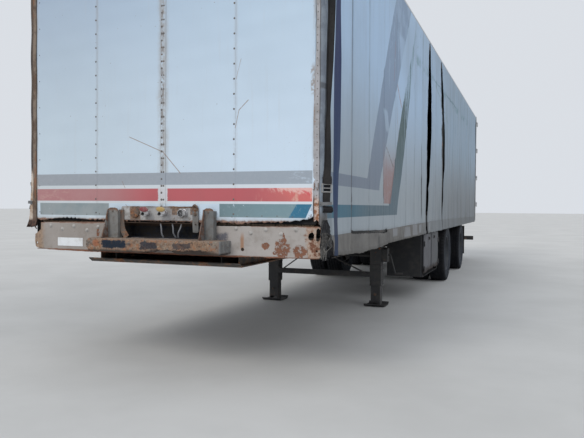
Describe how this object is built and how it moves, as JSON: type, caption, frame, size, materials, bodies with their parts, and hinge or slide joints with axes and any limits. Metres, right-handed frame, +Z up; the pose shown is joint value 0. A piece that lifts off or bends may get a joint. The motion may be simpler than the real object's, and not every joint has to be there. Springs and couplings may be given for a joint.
{
  "type": "semi trailer",
  "caption": "Curtain-sided box semi trailer on spread twin-wheel axles and landing legs, with rear doors, an underfloor locker and a worn, rusty front coupling bracket.",
  "frame": {"origin": "on the ground under the middle of the whole trailer", "axes": "+Y to the rear, +X to the trailer's left, +Z up"},
  "size_m": [2.546, 12.429, 3.53],
  "materials": {
    "steel_frame": "dull, dirty dark grey paint with rust",
    "rusty_steel": "rusted paint, orange-brown",
    "cream_steel": "dirty grey-beige paint with rust patches",
    "white_panel": "weathered white sheet, striped",
    "grey_paint": "weathered light grey paint",
    "curtain_cloth": "coated curtain cloth, dirty white, striped",
    "aluminium": "dull",
    "wood": "worn floor boards",
    "tyre_rubber": "dusty black",
    "wheel_steel": "dirty, rusty grey",
    "red_plastic": "faded red",
    "yellow_plastic": "faded yellow",
    "socket_metal": "dull cast",
    "hose_rubber": "dull pale grey",
    "plate_white": "plain white",
    "flap_rubber": "dull black",
    "lamp_plastic": "red and amber lenses",
    "locker_paint": "dull dark grey",
    "locker_door_paint": "dirty pale grey",
    "tensioner_steel": "worn bright steel"
  },
  "bodies": {
    "trailer": {"air_coupling_red": "red_plastic", "air_coupling_yellow": "yellow_plastic", "air_tank": "steel_frame", "axle_front": "steel_frame", "axle_rear": "steel_frame", "brake_chambers": "steel_frame", "cant_rails": "aluminium", "chassis_rail_left": "steel_frame", "chassis_rail_right": "steel_frame", "coupling_beam": "rusty_steel", "coupling_panel": "grey_paint", "coupling_uprights": "rusty_steel", "curtain_left": "curtain_cloth", "curtain_right": "curtain_cloth", "curtain_tensioners": "tensioner_steel", "electric_socket": "socket_metal", "floor_crossmembers": "steel_frame", "front_crossmember": "cream_steel", "front_posts": "grey_paint", "front_wall": "white_panel", "kingpin": "steel_frame", "landing_bracing": "steel_frame", "landing_drive": "steel_frame", "landing_feet": "steel_frame", "landing_legs": "steel_frame", "leaf_springs": "steel_frame", "load_floor": "wood", "locker": "locker_paint", "marker_plate": "plate_white", "mudflaps": "flap_rubber", "post_hinges": "grey_paint", "rear_frame": "grey_paint", "rear_lamps": "lamp_plastic", "roof_panel": "white_panel", "rubbing_plate": "steel_frame", "service_hoses": "hose_rubber", "side_posts": "aluminium", "side_rails": "cream_steel", "underrun_bar": "steel_frame"},
    "door_left": {"door_gear_left": "grey_paint", "rear_door_left": "white_panel"},
    "door_right": {"door_gear_right": "grey_paint", "rear_door_right": "white_panel"},
    "locker_door_front": {"locker_door_front": "locker_door_paint"},
    "locker_door_rear": {"locker_door_rear": "locker_door_paint"},
    "wheels_front_left": {"twin_tyres_front_left": "tyre_rubber", "wheel_hub_front_left": "wheel_steel"},
    "wheels_front_right": {"twin_tyres_front_right": "tyre_rubber", "wheel_hub_front_right": "wheel_steel"},
    "wheels_rear_left": {"twin_tyres_rear_left": "tyre_rubber", "wheel_hub_rear_left": "wheel_steel"},
    "wheels_rear_right": {"twin_tyres_rear_right": "tyre_rubber", "wheel_hub_rear_right": "wheel_steel"}
  },
  "joints": [
    {"name": "wheels_front_left_spin", "type": "hinge", "parent": "trailer", "child": "wheels_front_left", "pos_m": [0.905, 1.0355, 0.48], "axis": [1, 0, 0], "continuous": true},
    {"name": "wheels_front_right_spin", "type": "hinge", "parent": "trailer", "child": "wheels_front_right", "pos_m": [-0.905, 1.0355, 0.48], "axis": [1, 0, 0], "continuous": true},
    {"name": "wheels_rear_left_spin", "type": "hinge", "parent": "trailer", "child": "wheels_rear_left", "pos_m": [0.905, 3.2655, 0.48], "axis": [1, 0, 0], "continuous": true},
    {"name": "wheels_rear_right_spin", "type": "hinge", "parent": "trailer", "child": "wheels_rear_right", "pos_m": [-0.905, 3.2655, 0.48], "axis": [1, 0, 0], "continuous": true},
    {"name": "door_left_hinge", "type": "hinge", "parent": "trailer", "child": "door_left", "pos_m": [1.262, 6.2035, 2.3], "axis": [0, 0, -1], "range_deg": [0, 270]},
    {"name": "door_right_hinge", "type": "hinge", "parent": "trailer", "child": "door_right", "pos_m": [-1.262, 6.2035, 2.3], "axis": [0, 0, 1], "range_deg": [0, 270]},
    {"name": "locker_door_front_hinge", "type": "hinge", "parent": "trailer", "child": "locker_door_front", "pos_m": [1.206, -1.5085, 0.6], "axis": [0, 0, -1], "range_deg": [0, 110]},
    {"name": "locker_door_rear_hinge", "type": "hinge", "parent": "trailer", "child": "locker_door_rear", "pos_m": [1.206, -0.1505, 0.6], "axis": [0, 0, 1], "range_deg": [0, 110]}
  ]
}
